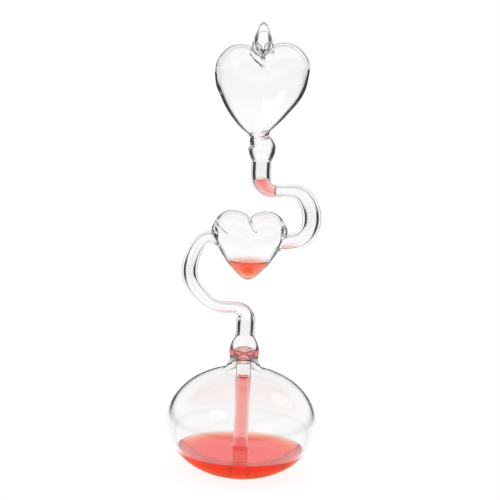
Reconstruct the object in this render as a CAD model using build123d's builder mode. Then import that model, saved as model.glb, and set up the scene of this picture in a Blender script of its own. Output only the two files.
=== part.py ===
from build123d import *
import math
import os

# Hand boiler: a sealed, lamp-blown glass toy that stands on a round base bulb and
# carries two heart-shaped bulbs, joined by tubes and part filled with red liquid.
# Millimetres, +Z up, +Y away from the viewer.
# Origin: the centre of the flat foot, on the dip tube's axis.

# ---- base bulb
bulb_radius = 30.2
bulb_centre_z = 20.2
bulb_rise = 22.8
foot_radius = 12.3
bulb_wall = 1.1
shoulder_angle = 72.5
neck_z = 46.6
neck_radius = 5.65
neck_bore = 4.45
land = 0.8

# ---- dip tube and ring seal
dip_radius = 2.95
dip_bore = 2.05
dip_mouth_z = 2.0
dip_top_z = 51.4
seal_z = 46.2
seal_rise = 0.9
seal_wall = 1.2

# ---- levels of the liquid
pool_level = 9.8
riser_level = 39.2
meniscus_height = 3.0
meniscus_clearance = 0.03
collar_level = 50.3
heart_level = 87.3
slug_level = 120.9
slug_end_x = 10.0
arm_level = 94.45
arm_trace_x = 13.4
arm_trace_end_x = 19.6

# ---- lower collar, stem and bend
collar_top_z = 57.2
stem_radius = 3.72
bore_ratio = 0.57
bend_bore_ratio = 0.5
lower_weld_x = -5.0
lower_weld_z = 67.6
horizontal_radius = 2.5

# ---- middle heart
heart_x = 0.1
heart_half_width = 15.1
heart_half_depth = 9.3
heart_wall = 0.85
left_arm_x = -15.3
left_arm_z = 96.0
left_arm_radius = 2.45
right_arm_x = 15.2
right_arm_z = 95.4
right_arm_radius = 3.6

# ---- upper bend, stem and collar
upper_weld_x = 11.5
upper_weld_z = 115.85
upper_stem_x = 3.7
upper_stem_radius = 3.97
upper_stem_top_z = 128.0
waist_x = 2.4
waist_z = 136.8
waist_radius = 3.65
waist_bore = 2.1

# ---- upper heart and sealing tip
top_heart_x = 2.5
top_heart_half_width = 18.65
top_heart_half_depth = 12.0
tip_x = 2.3
tip_top_z = 183.5
tip_hole_radius = 1.2

os.makedirs("parts", exist_ok=True)


def tube(stations, start_way, end_way, share=1.0):
    """Round tube body lofted along a spline through (x, z, radius) stations in the XZ plane."""
    points = [(x, 0, z) for x, z, radius in stations]
    path = Edge.make_spline(
        [Vector(*point) for point in points],
        tangents=[Vector(*start_way), Vector(*end_way)],
    )
    with BuildPart() as body:
        for (x, z, radius), point in zip(stations, points):
            way = path % path.param_at_point(Vector(*point))
            with BuildSketch(Plane(origin=point, x_dir=(0, 1, 0), z_dir=way)):
                Circle(radius * share)
        loft()
    return body.part


def blend_value(table, place):
    """Value at one place of a table of (place, value) rows, eased between the rows."""
    for (a, low), (b, high) in zip(table, table[1:]):
        if place <= b:
            return low + (high - low) * (place - a) / (b - a)
    return table[-1][1]


def heart_slice(low, high, depth, pointed):
    """Points of one upright slice of a heart: egg-shaped, narrow at the foot."""
    count = 9
    steps = [(1 - math.cos(math.pi * i / count)) / 2 for i in range(count + 1)]

    def spread(u):
        return math.sqrt(u * u + 2 * pointed * u) * math.sqrt(1 - u)

    widest = max(spread(i / 200) for i in range(201))
    side = [(depth * spread(u) / widest, low + (high - low) * u) for u in steps]
    back = [(-y, z) for y, z in reversed(side[1:-1])]
    return side + back


def heart_half(x_middle, way, half_width, half_depth, lows, highs, point, inset):
    """One half of a puffed heart, lofted from its middle plane out to its side."""
    width = half_width - inset
    with BuildPart() as half:
        for share in (0.0, 0.08, 0.2, 0.35, 0.5, 0.64, 0.77, 0.88, 0.955, 0.992):
            place = share * half_width
            low = blend_value(lows, place) + inset * (1 + 0.35 * (1 - share))
            high = blend_value(highs, place) - inset
            round_off = math.sqrt(1 - share**2.2)
            dip = 1 - 0.05 * (1 - share) ** 4
            depth = (half_depth - inset) * round_off * dip
            pointed = point + 1.2 * share**2
            x = x_middle + way * share * width
            with BuildSketch(Plane(origin=(x, 0, 0), x_dir=(0, 1, 0), z_dir=(1, 0, 0))):
                with BuildLine():
                    Spline(*heart_slice(low, high, depth, pointed), periodic=True)
                make_face()
        loft()
    return half.part


# Outline of each heart: height of its underside and of its lobes at distances from the cleft.
middle_lows = [(0, 79.4), (1.2, 79.6), (2.8, 80.5), (5.5, 83.2), (8.6, 86.5), (10.2, 89.2),
               (12.3, 92.5), (14.0, 95.9), (15.1, 98.9)]
middle_highs = [(0, 104.5), (1.2, 105.4), (3.0, 106.4), (5.3, 107.1), (7.6, 107.3), (10.0, 106.7),
                (12.0, 105.4), (13.7, 103.2), (15.1, 100.0)]
top_left_lows = [(0, 135.6), (4.1, 138.2), (6.5, 140.0), (9.8, 143.3), (13.4, 148.0),
                 (16.0, 153.2), (17.9, 157.4), (18.65, 162.2)]
top_left_highs = [(0, 171.0), (1.5, 172.3), (4.0, 173.3), (7.5, 174.0), (10.8, 174.0),
                  (13.5, 172.9), (16.15, 170.3), (18.0, 167.0), (18.65, 163.2)]
top_right_lows = [(0, 135.6), (4.3, 140.2), (7.6, 143.4), (11.1, 147.4), (15.1, 152.4),
                  (17.25, 156.6), (18.3, 161.0), (18.65, 165.4)]
top_right_highs = [(0, 171.0), (1.5, 172.5), (4.0, 174.3), (7.0, 175.3), (10.0, 175.4),
                   (13.0, 174.5), (15.75, 172.4), (17.7, 169.6), (18.65, 166.4)]


def middle_heart_body(inset):
    """The middle heart's closed body, its skin moved inwards by the inset."""
    left = heart_half(heart_x, -1, heart_half_width, heart_half_depth, middle_lows,
                      middle_highs, 0.07, inset)
    right = heart_half(heart_x, 1, heart_half_width, heart_half_depth, middle_lows,
                       middle_highs, 0.07, inset)
    return left + right


def top_heart_body(inset):
    """The top heart's closed body, its skin moved inwards by the inset."""
    left = heart_half(top_heart_x, -1, top_heart_half_width, top_heart_half_depth,
                      top_left_lows, top_left_highs, 0.03, inset)
    right = heart_half(top_heart_x, 1, top_heart_half_width, top_heart_half_depth,
                       top_right_lows, top_right_highs, 0.03, inset)
    return left + right


# ---- base bulb: a flattened sphere with a flat foot, and a neck that flares into its shoulder
def bulb_profile(inset, mouth_radius, straight):
    """Half section of the bulb, its skin moved inwards by the inset."""
    across = bulb_radius - inset
    up = bulb_rise - inset
    down = bulb_centre_z / math.sqrt(1 - (foot_radius / bulb_radius) ** 2) - inset
    foot_angle = math.degrees(math.asin((bulb_centre_z - inset) / down))
    with BuildLine() as outline:
        lower = EllipticalCenterArc((0, bulb_centre_z), across, down, -foot_angle,
                                    arc_size=foot_angle)
        upper = EllipticalCenterArc((0, bulb_centre_z), across, up, 0, arc_size=shoulder_angle)
        neck = Spline(upper @ 1, (mouth_radius, neck_z - straight),
                      tangents=(upper % 1, (-0.3, 1)), tangent_scalars=(0.7, 1.4))
        Polyline(neck @ 1, (mouth_radius, neck_z), (0, neck_z), (0, inset), lower @ 0)
    return outline


bulb_outside = bulb_profile(0, neck_radius, 0.2)
bulb_inside = bulb_profile(bulb_wall, neck_bore, land)

with BuildPart() as base_bulb:
    with BuildSketch(Plane.XZ):
        add(bulb_outside.line)
        make_face()
    revolve(axis=Axis.Z)
    with BuildSketch(Plane.XZ):
        add(bulb_inside.line)
        make_face()
    revolve(axis=Axis.Z, mode=Mode.SUBTRACT)
base_bulb.part.label = "base_bulb"

# ---- dip tube: straight, from just above the bulb's floor to above the ring seal
with BuildPart() as dip_tube:
    with BuildSketch(Plane.XY.offset(dip_mouth_z)):
        Circle(dip_radius)
        Circle(dip_bore, mode=Mode.SUBTRACT)
    extrude(amount=dip_top_z - dip_mouth_z)
    ends = dip_tube.edges().filter_by(GeomType.CIRCLE)
    fillet(ends, radius=0.25)
dip_tube.part.label = "dip_tube"

# ---- ring seal: the flared web that fuses the dip tube into the neck
with BuildPart() as ring_seal:
    with BuildSketch(Plane.XZ):
        with BuildLine():
            under = Spline((dip_radius, seal_z - seal_rise), (neck_bore, seal_z),
                           tangents=((0.3, 1), (1, 0.3)))
            rim = Line(under @ 1, (neck_bore, seal_z + seal_wall + 0.3))
            over = Spline(rim @ 1, (dip_radius, seal_z + seal_wall),
                          tangents=((-1, -0.6), (-1, 0.6)))
            Line(over @ 1, under @ 0)
        make_face()
    revolve(axis=Axis.Z)
ring_seal.part.label = "ring_seal"


# ---- lower collar: the short bulge above the ring seal
def collar_skin(rows, foot_land, top_z):
    """Closed half section under a spline through (radius, height) rows."""
    with BuildLine() as outline:
        first = Line((rows[0][0], neck_z), (rows[0][0], neck_z + foot_land))
        side = Spline(first @ 1, *rows[1:], tangents=((0, 1), (0, 1)))
        Line(side @ 1, (0, top_z))
        Line((0, top_z), (0, neck_z))
        Line((0, neck_z), first @ 0)
    return outline


collar_outside = collar_skin(
    [(neck_radius, neck_z), (5.88, 50.0), (5.65, 51.9), (4.7, 54.3), (stem_radius, collar_top_z)],
    0.3, collar_top_z)
collar_inside = collar_skin(
    [(neck_bore, neck_z), (4.7, 50.0), (4.5, 51.8), (3.35, 54.2),
     (stem_radius * bore_ratio, collar_top_z)],
    seal_z + seal_wall + 0.5 - neck_z, collar_top_z)

with BuildPart() as lower_collar:
    with BuildSketch(Plane.XZ):
        add(collar_outside.line)
        make_face()
    revolve(axis=Axis.Z)
    with BuildSketch(Plane.XZ):
        add(collar_inside.line)
        make_face()
    revolve(axis=Axis.Z, mode=Mode.SUBTRACT)
lower_collar.part.label = "lower_collar"

# ---- lower stem: rises from the collar and turns sharply to the left
lower_stem_run = [(0, collar_top_z, stem_radius), (0.05, 60.0, stem_radius),
                  (0.1, 62.5, stem_radius), (-0.05, 64.4, 3.4), (-0.95, 66.1, 2.95),
                  (-2.7, 67.25, 2.6),
                  (lower_weld_x, lower_weld_z, horizontal_radius)]
with BuildPart() as lower_stem:
    add(tube(lower_stem_run, (0, 0, 1), (-1, 0, 0)))
    add(tube(lower_stem_run, (0, 0, 1), (-1, 0, 0), bore_ratio), mode=Mode.SUBTRACT)
lower_stem.part.label = "lower_stem"

# ---- lower bend: the C that swings out to the left and back into the middle heart
lower_bend_run = [(lower_weld_x, lower_weld_z, horizontal_radius), (-8.2, 67.5, 2.55),
                  (-11.2, 67.95, 2.55), (-14.8, 69.5, 2.65), (-18.2, 72.3, 2.9),
                  (-20.7, 75.2, 3.0), (-22.4, 78.4, 3.1), (-23.1, 81.9, 3.15),
                  (-22.8, 85.6, 3.05), (-21.6, 89.6, 2.8), (-19.9, 92.9, 2.55),
                  (-17.7, 95.25, 2.45), (left_arm_x, left_arm_z, left_arm_radius)]
with BuildPart() as lower_bend:
    add(tube(lower_bend_run, (-1, 0, 0), (1, 0, 0)))
    add(tube(lower_bend_run, (-1, 0, 0), (1, 0, 0), bend_bore_ratio), mode=Mode.SUBTRACT)
lower_bend.part.label = "lower_bend"

# ---- middle heart: two lobes with a pressed cleft, and a short arm on each side
left_arm_run = [(left_arm_x, left_arm_z, left_arm_radius), (-13.4, 96.1, 2.75),
                (-11.0, 96.1, 3.6), (-8.5, 96.0, 4.2)]
right_arm_run = [(right_arm_x, right_arm_z, right_arm_radius), (13.2, 95.35, 3.65),
                 (11.0, 95.4, 3.7)]
middle_cavity = middle_heart_body(heart_wall)
right_arm_bore = tube(right_arm_run, (-1, 0, 0), (-1, 0, 0), bend_bore_ratio)
with BuildPart() as middle_heart:
    add(middle_heart_body(0))
    add(tube(left_arm_run, (1, 0, 0), (1, 0, 0)))
    add(tube(right_arm_run, (-1, 0, 0), (-1, 0, 0)))
    add(middle_cavity, mode=Mode.SUBTRACT)
    add(tube(left_arm_run, (1, 0, 0), (1, 0, 0), bend_bore_ratio), mode=Mode.SUBTRACT)
    add(right_arm_bore, mode=Mode.SUBTRACT)
middle_heart.part.label = "middle_heart"

# ---- upper bend: the C that swings out to the right, from the middle heart to the upper stem
upper_bend_run = [(right_arm_x, right_arm_z, right_arm_radius), (17.7, 95.7, 3.55),
                  (20.5, 96.7, 3.5), (22.8, 98.8, 3.5), (24.2, 101.7, 3.65),
                  (24.6, 105.4, 3.75), (24.0, 109.0, 3.65), (22.5, 112.2, 3.4),
                  (20.3, 114.6, 3.1), (17.6, 115.9, 2.8), (14.6, 116.0, 2.5),
                  (upper_weld_x, upper_weld_z, horizontal_radius)]
upper_bend_bore = tube(upper_bend_run, (1, 0, 0), (-1, 0, 0), bend_bore_ratio)
with BuildPart() as upper_bend:
    add(tube(upper_bend_run, (1, 0, 0), (-1, 0, 0)))
    add(upper_bend_bore, mode=Mode.SUBTRACT)
upper_bend.part.label = "upper_bend"

# ---- upper stem: turns from the bend's end straight up to the upper collar
upper_stem_run = [(upper_weld_x, upper_weld_z, horizontal_radius), (9.4, 115.85, 2.6),
                  (7.2, 116.2, 2.9), (5.4, 117.3, 3.3), (4.25, 119.2, 3.75),
                  (3.75, 121.8, upper_stem_radius), (upper_stem_x, 125.0, upper_stem_radius),
                  (upper_stem_x, upper_stem_top_z, upper_stem_radius)]
upper_stem_bore = tube(upper_stem_run, (-1, 0, 0), (0, 0, 1), bore_ratio)
with BuildPart() as upper_stem:
    add(tube(upper_stem_run, (-1, 0, 0), (0, 0, 1)))
    add(upper_stem_bore, mode=Mode.SUBTRACT)
upper_stem.part.label = "upper_stem"

# ---- upper collar: the bulge under the top heart, leaning a little to the left
upper_collar_run = [(upper_stem_x, upper_stem_top_z, upper_stem_radius), (3.7, 129.9, 4.75),
                    (3.7, 131.6, 5.2), (3.6, 133.3, 5.4), (3.15, 135.1, 4.6),
                    (waist_x, waist_z, waist_radius)]
upper_collar_bore = [(upper_stem_x, upper_stem_top_z, upper_stem_radius * bore_ratio),
                     (3.7, 129.9, 3.1), (3.7, 131.6, 3.75), (3.6, 133.3, 3.9),
                     (3.15, 135.1, 3.1), (waist_x, waist_z, waist_bore)]
with BuildPart() as upper_collar:
    add(tube(upper_collar_run, (0, 0, 1), (0, 0, 1)))
    add(tube(upper_collar_bore, (0, 0, 1), (0, 0, 1)), mode=Mode.SUBTRACT)
upper_collar.part.label = "upper_collar"

# ---- top heart: cut level at the collar, with a round neck
top_skin = top_heart_body(0)
with BuildPart() as top_heart:
    add(top_skin)
    with BuildSketch(Plane(origin=(waist_x, 0, waist_z))):
        Circle(waist_radius)
    extrude(amount=3.4)
    split(bisect_by=Plane(origin=(0, 0, waist_z)), keep=Keep.TOP)
    add(top_heart_body(heart_wall), mode=Mode.SUBTRACT)
    with BuildSketch(Plane(origin=(waist_x, 0, waist_z))):
        Circle(waist_bore)
    extrude(amount=6.0, mode=Mode.SUBTRACT)
    with BuildSketch(Plane(origin=(tip_x, 0, waist_z + 20))):
        Circle(tip_hole_radius)
    extrude(amount=20.0, mode=Mode.SUBTRACT)
top_heart.part.label = "top_heart"

# ---- sealing tip: the filling tube on the cleft, drawn off and melted shut
tip_outside = [(4.7, 171.5), (4.3, 174.2), (3.3, 177.4), (2.5, 179.8), (1.75, 181.9)]
tip_inside = [(tip_hole_radius, 170.0), (tip_hole_radius, 172.2), (1.5, 175.4), (1.0, 178.0)]
with BuildPart() as sealing_tip:
    with BuildSketch(Plane(origin=(tip_x, 0, 0), x_dir=(1, 0, 0), z_dir=(0, -1, 0))):
        with BuildLine():
            flank = Spline(*tip_outside)
            crown = Spline(flank @ 1, (0, tip_top_z), tangents=(flank % 1, (-1, 0)))
            hollow_top = (0, 179.2)
            Line(crown @ 1, hollow_top)
            hollow = Spline(hollow_top, *reversed(tip_inside[1:]), tangents=((1, 0), (0, -1)))
            drop = Line(hollow @ 1, tip_inside[0])
            foot = Line(drop @ 1, (4.7, 170.0))
            Line(foot @ 1, flank @ 0)
        make_face()
    revolve(axis=Axis((tip_x, 0, 0), (0, 0, 1)))
    add(top_skin, mode=Mode.SUBTRACT)
    kept_tip = sealing_tip.solids().sort_by(Axis.Z)[-1]
    add(kept_tip, mode=Mode.INTERSECT)
sealing_tip.part.label = "sealing_tip"

# ---- base liquid: the pool round the dip tube's foot
with BuildPart() as base_liquid:
    with BuildSketch(Plane.XZ):
        add(bulb_inside.line)
        make_face()
    revolve(axis=Axis.Z)
    split(bisect_by=Plane(origin=(0, 0, pool_level)), keep=Keep.BOTTOM)
    add(dip_tube.part, mode=Mode.SUBTRACT)
    with BuildSketch(Plane.XY.offset(dip_mouth_z)):
        Circle(dip_bore + 0.3)
    extrude(amount=pool_level, mode=Mode.SUBTRACT)
base_liquid.part.label = "base_liquid"

# ---- liquid standing in the dip tube, and the top of it that carries the level
with BuildPart() as riser_column:
    with BuildSketch(Plane.XY.offset(dip_mouth_z)):
        Circle(dip_bore)
    extrude(amount=riser_level - meniscus_height - dip_mouth_z)
riser_column.part.label = "riser_column"

with BuildPart() as riser_meniscus:
    with BuildSketch(Plane.XY.offset(riser_level - meniscus_height)):
        Circle(dip_bore - meniscus_clearance)
    extrude(amount=meniscus_height)
riser_meniscus.part.label = "riser_meniscus"

# ---- liquid ring lying on the ring seal, round the dip tube's head
with BuildPart() as collar_liquid:
    with BuildSketch(Plane.XZ):
        add(collar_inside.line)
        make_face()
    revolve(axis=Axis.Z)
    split(bisect_by=Plane(origin=(0, 0, collar_level)), keep=Keep.BOTTOM)
    add(ring_seal.part, mode=Mode.SUBTRACT)
    with BuildSketch(Plane.XY.offset(neck_z - 5)):
        Circle(dip_radius)
    extrude(amount=20, mode=Mode.SUBTRACT)
    kept_ring = collar_liquid.solids().sort_by(Axis.Z)[-1]
    add(kept_ring, mode=Mode.INTERSECT)
collar_liquid.part.label = "collar_liquid"

# ---- liquid in the middle heart's point
with BuildPart() as heart_liquid:
    add(middle_cavity)
    split(bisect_by=Plane(origin=(0, 0, heart_level)), keep=Keep.BOTTOM)
heart_liquid.part.label = "heart_liquid"

# ---- slug of liquid caught in the upper stem's turn
with BuildPart() as bend_liquid:
    add(upper_stem_bore)
    split(bisect_by=Plane(origin=(0, 0, slug_level)), keep=Keep.BOTTOM)
    split(bisect_by=Plane(origin=(slug_end_x, 0, 0), z_dir=(1, 0, 0)), keep=Keep.BOTTOM)
bend_liquid.part.label = "bend_liquid"

# ---- trace of liquid lying along the floor of the right arm and the bend's foot
with BuildPart() as arm_liquid:
    add(right_arm_bore)
    add(upper_bend_bore)
    split(bisect_by=Plane(origin=(0, 0, arm_level)), keep=Keep.BOTTOM)
    split(bisect_by=Plane(origin=(arm_trace_x, 0, 0), z_dir=(1, 0, 0)), keep=Keep.TOP)
    split(bisect_by=Plane(origin=(arm_trace_end_x, 0, 0), z_dir=(1, 0, 0)), keep=Keep.BOTTOM)
arm_liquid.part.label = "arm_liquid"

pieces = [base_bulb, dip_tube, ring_seal, lower_collar, lower_stem, lower_bend, middle_heart,
          upper_bend, upper_stem, upper_collar, top_heart, sealing_tip, base_liquid,
          riser_column, riser_meniscus, collar_liquid, heart_liquid, bend_liquid,
          arm_liquid]
for piece in pieces:
    export_step(piece.part, "parts/" + piece.part.label + ".step")
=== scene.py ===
import logging
import math
from dataclasses import dataclass, field
from enum import Enum
from typing import Any, Callable, Sequence

import bpy
import numpy as np
from mathutils import Matrix, Vector


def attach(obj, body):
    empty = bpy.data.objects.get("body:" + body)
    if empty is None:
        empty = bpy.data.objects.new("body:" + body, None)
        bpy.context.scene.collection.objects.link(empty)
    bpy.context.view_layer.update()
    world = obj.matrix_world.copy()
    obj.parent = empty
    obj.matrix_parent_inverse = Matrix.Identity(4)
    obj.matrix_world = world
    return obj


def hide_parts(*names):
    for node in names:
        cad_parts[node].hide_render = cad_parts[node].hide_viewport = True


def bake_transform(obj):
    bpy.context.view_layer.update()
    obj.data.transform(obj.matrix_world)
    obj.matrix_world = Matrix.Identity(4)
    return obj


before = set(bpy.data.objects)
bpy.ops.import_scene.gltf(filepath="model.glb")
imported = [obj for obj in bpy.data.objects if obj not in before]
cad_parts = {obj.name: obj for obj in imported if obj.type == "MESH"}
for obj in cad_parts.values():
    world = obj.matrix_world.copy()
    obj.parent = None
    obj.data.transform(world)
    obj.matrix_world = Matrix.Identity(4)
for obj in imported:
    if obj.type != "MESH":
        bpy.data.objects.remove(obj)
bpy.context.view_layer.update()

log = logging.getLogger("hand_boiler")


# ---------------------------------------------------------------- shapes
MM = 0.001          # a millimetre in metres
WET = 0.05          # how far a liquid reaches into the glass that holds it, mm
NEAR = 0.03         # how close an added point stands to a sharp corner, mm
FINE = 0.05         # spacing of places where a track is only read, mm
STRAIGHT = 0.8      # cosine of the least turn that counts as a sharp corner
ROUND = 160         # points round the base bulb
WIDE = 128          # points round a collar
NARROW = 96         # points round a tube or tip
HALVINGS = 34       # rounds of halving that find where a ray leaves a shape
EASINGS = 30        # rounds of easing where an arm or neck meets a heart
Rows = Sequence[Sequence[float]]
Colour = tuple[float, float, float, float]
Filled = Callable[[np.ndarray, np.ndarray, np.ndarray], np.ndarray]     # true inside a shape
WHITE: Colour = (1.0, 1.0, 1.0, 1.0)


def grey(level: float) -> Colour:
    """A grey of that level."""
    return level, level, level, 1.0


class Track:
    """Smooth curve through rows of numbers, such as x, z and radius in millimetres."""

    def __init__(self, rows: Rows, start: Sequence[float] | None = None,
                 end: Sequence[float] | None = None) -> None:
        """Fits the curve.

        Args:
            rows: The rows that it passes through; the first two columns set its spacing.
            start: Its direction in those two columns where it begins, if that is fixed.
            end: The same where it ends.
        """
        self.rows = np.array(rows, float)
        steps = np.linalg.norm(np.diff(self.rows[:, :2], axis=0), axis=1)
        self.knots = np.concatenate([[0.0], np.cumsum(steps)])
        self.length = float(self.knots[-1])
        self.slopes = self._fit(steps, start, end)

    def _fit(self, h: np.ndarray, start: Sequence[float] | None,
             end: Sequence[float] | None) -> np.ndarray:
        """Solves for the slope at each row.

        Args:
            h: The spacing of the rows.
            start: The fixed direction at the first row, or None.
            end: The same at the last row.

        Returns:
            One slope for each row and column.
        """
        p, n = self.rows, len(self.rows)
        slopes = np.zeros_like(p)
        for column in range(p.shape[1]):
            a, b = np.zeros((n, n)), np.zeros(n)
            q = p[:, column]
            for i in range(1, n - 1):
                a[i, i - 1:i + 2] = h[i], 2 * (h[i - 1] + h[i]), h[i - 1]
                b[i] = 3 * (h[i] * (q[i] - q[i - 1]) / h[i - 1]
                            + h[i - 1] * (q[i + 1] - q[i]) / h[i])
            for i, j, way, step in ((0, 1, start, h[0]), (n - 1, n - 2, end, h[-1])):
                if way is not None and column < 2:
                    a[i, i], b[i] = 1, way[column] / math.hypot(*way)
                else:
                    a[i, i], a[i, j] = 2, 1
                    b[i] = 3 * (q[max(i, j)] - q[min(i, j)]) / step
            slopes[:, column] = np.linalg.solve(a, b)
        return slopes

    def at(self, places: np.ndarray) -> tuple[np.ndarray, np.ndarray]:
        """Reads the curve.

        Args:
            places: Distances along it.

        Returns:
            The values there, and their slopes.
        """
        i = np.clip(np.searchsorted(self.knots, places, "right") - 1, 0, len(self.knots) - 2)
        h = (self.knots[i + 1] - self.knots[i])[:, None]
        t = ((places - self.knots[i]) / h[:, 0])[:, None]
        p0, p1, m0, m1 = self.rows[i], self.rows[i + 1], self.slopes[i] * h, self.slopes[i + 1] * h
        value = ((2 * t**3 - 3 * t**2 + 1) * p0 + (t**3 - 2 * t**2 + t) * m0
                 + (3 * t**2 - 2 * t**3) * p1 + (t**3 - t**2) * m1)
        slope = ((6 * t**2 - 6 * t) * (p0 - p1) + (3 * t**2 - 4 * t + 1) * m0
                 + (3 * t**2 - 2 * t) * m1) / h
        return value, slope

    def evenly(self, spacing: float) -> np.ndarray:
        """Places along the curve, about one spacing apart."""
        return np.linspace(0, self.length, max(4, round(self.length / spacing)) + 1)


class Skin:
    """Mesh grown from rings of points, in millimetres."""

    def __init__(self) -> None:
        """Starts empty."""
        self.points: list[np.ndarray] = []
        self.faces: list[tuple[int, ...]] = []
        self.count = 0

    def _add(self, points: np.ndarray) -> int:
        """Keeps some points.

        Args:
            points: The new points.

        Returns:
            The number of the first.
        """
        first = self.count
        self.points.append(points.reshape(-1, 3))
        self.count += len(self.points[-1])
        return first

    def wrap(self, rings: np.ndarray, inward: bool = False, looped: bool = False,
             first_pole: bool = False, last_pole: bool = False) -> "Skin":
        """Joins rings with four-sided faces.

        Args:
            rings: An array of rings, each an equal number of points.
            inward: True where the faces look towards the axis, as on a bore.
            looped: True where the last ring joins the first.
            first_pole: True where the first ring is closed to a point.
            last_pole: True where the last ring is.

        Returns:
            The skin itself.
        """
        m, n = rings.shape[:2]
        first = self._add(rings)
        made = []
        for i in range(m if looped else m - 1):
            a, b = first + i * n, first + (i + 1) % m * n
            made += [(a + j, a + (j + 1) % n, b + (j + 1) % n, b + j) for j in range(n)]
        for wanted, ring, flip in ((first_pole, 0, True), (last_pole, m - 1, False)):
            if wanted:
                pole = self._add(rings[ring].mean(0))
                a = first + ring * n
                made += [(a + (j + 1) % n, a + j, pole) if flip else (a + j, a + (j + 1) % n, pole)
                         for j in range(n)]
        self.faces += [tuple(reversed(f)) for f in made] if inward else made
        return self

    def piece(self, name: str, material: bpy.types.Material) -> bpy.types.Object:
        """Turns the skin into a Blender object.

        Args:
            name: The piece's name.
            material: Its finish.

        Returns:
            The object, in metres.
        """
        mesh = bpy.data.meshes.new(name)
        mesh.from_pydata((np.concatenate(self.points) * MM).tolist(), [], self.faces)
        mesh.polygons.foreach_set("use_smooth", [True] * len(mesh.polygons))
        mesh.materials.append(material)
        mesh.update()
        made = bpy.data.objects.new(name, mesh)
        bpy.context.scene.collection.objects.link(made)
        return made


def turned(profile: np.ndarray, centre_x: float = 0.0, around: int = ROUND) -> np.ndarray:
    """Rings of a turned shape.

    Args:
        profile: Its (radius, height) rows, upwards for an outer skin.
        centre_x: Where its upright axis stands.
        around: The points in a ring.

    Returns:
        The rings.
    """
    turn = np.linspace(0, 2 * math.pi, around, endpoint=False)
    r, z = profile[:, :1], profile[:, 1:2]
    return np.stack([centre_x - r * np.sin(turn), r * np.cos(turn),
                     np.repeat(z, around, 1)], axis=-1)


def swept(track: Track, places: np.ndarray, share: float = 1.0, grow: float = 0.0,
          around: int = 72) -> np.ndarray:
    """Rings of a round tube along an (x, z, radius) track.

    Args:
        track: The tube's run.
        places: Where the rings stand along it.
        share: The ring's radius as a share of the track's.
        grow: What is added to it.
        around: The points in a ring.

    Returns:
        The rings.
    """
    value, slope = track.at(places)
    way = slope[:, :2] / np.linalg.norm(slope[:, :2], axis=1)[:, None]
    turn = np.linspace(0, 2 * math.pi, around, endpoint=False)
    r = (value[:, 2] * share + grow)[:, None]
    return np.stack([value[:, :1] - way[:, 1:2] * r * np.sin(turn), r * np.cos(turn),
                     value[:, 1:2] + way[:, :1] * r * np.sin(turn)], axis=-1)


# ---------------------------------------------------------------- shader writing
class Sock:
    """A shader value that can be used in Python expressions."""

    def __init__(self, tree: "Tree", socket: Any) -> None:
        """Keeps the tree and the output socket, or a plain number."""
        self.tree = tree
        self.socket = socket

    def _maths(self, operation: str, *others: Any) -> "Sock":
        """Adds one Math node.

        Args:
            operation: The node's operation.
            others: Its inputs, as numbers or sockets.

        Returns:
            The node's result.
        """
        return self.tree.node("ShaderNodeMath", {"operation": operation}, dict(enumerate(others)))

    def __sub__(self, other: Any) -> "Sock":
        """self - other."""
        return self._maths("SUBTRACT", self, other)

    def __rsub__(self, other: Any) -> "Sock":
        """other - self."""
        return self._maths("SUBTRACT", other, self)

    def __mul__(self, other: Any) -> "Sock":
        """self * other."""
        return self._maths("MULTIPLY", self, other)

    def larger(self, other: Any) -> "Sock":
        """The larger of two values."""
        return self._maths("MAXIMUM", self, other)

    def above(self, other: Any) -> "Sock":
        """1 where self is above other, 0 elsewhere."""
        return self._maths("GREATER_THAN", self, other)

    __rmul__ = __mul__


class Tree:
    """Writes the nodes of one material or world."""

    def __init__(self, owner: Any) -> None:
        """Empties a node tree and keeps it.

        Args:
            owner: The material or world whose nodes these are.
        """
        owner.use_nodes = True
        self.nodes = owner.node_tree.nodes
        self.links = owner.node_tree.links
        self.nodes.clear()

    def node(self, kind: str, settings: dict[str, Any] | None = None,
             inputs: dict[Any, Any] | None = None, out: Any = 0) -> Sock:
        """Adds a node.

        Args:
            kind: The node's type.
            settings: Its properties, set first; "stops" fills a colour ramp.
            inputs: Values or sockets for its inputs, by name or place.
            out: The output to return, by name or place.

        Returns:
            The chosen output.
        """
        made = self.nodes.new(kind)
        for name, value in (settings or {}).items():
            if name == "stops":
                self._stops(made.color_ramp, value)
            else:
                setattr(made, name, value)
        for place, value in (inputs or {}).items():
            target = made.inputs[place]
            if isinstance(value, Sock):
                self.links.new(value.socket, target)
            else:
                target.default_value = value
        return Sock(self, made.outputs[out] if len(made.outputs) else None)

    def mix(self, share: Any, low: Sock, high: Sock) -> Sock:
        """Mixes two shaders: low where share is 0, high where it is 1."""
        return self.node("ShaderNodeMixShader", {}, {0: share, 1: low, 2: high})

    def lamplit(self, body: Sock, shade: Colour) -> Sock:
        """Lets the lamps shine through a clear body.

        Args:
            body: The clear shader that every other ray meets.
            shade: What a lamp's light is tinted by at each surface.

        Returns:
            The mixed shader.
        """
        through = self.node("ShaderNodeBsdfTransparent", {}, {"Color": shade})
        return self.mix(self.node("ShaderNodeLightPath", out="Is Shadow Ray"), body, through)

    @staticmethod
    def _stops(ramp: Any, stops: Sequence[tuple[float, tuple[float, ...]]]) -> None:
        """Fills a colour ramp.

        Args:
            ramp: The ramp.
            stops: Its (place, colour) stops.
        """
        while len(ramp.elements) < len(stops):
            ramp.elements.new(0.5)
        for element, (place, colour) in zip(ramp.elements, stops):
            element.position = place
            element.color = colour


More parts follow.
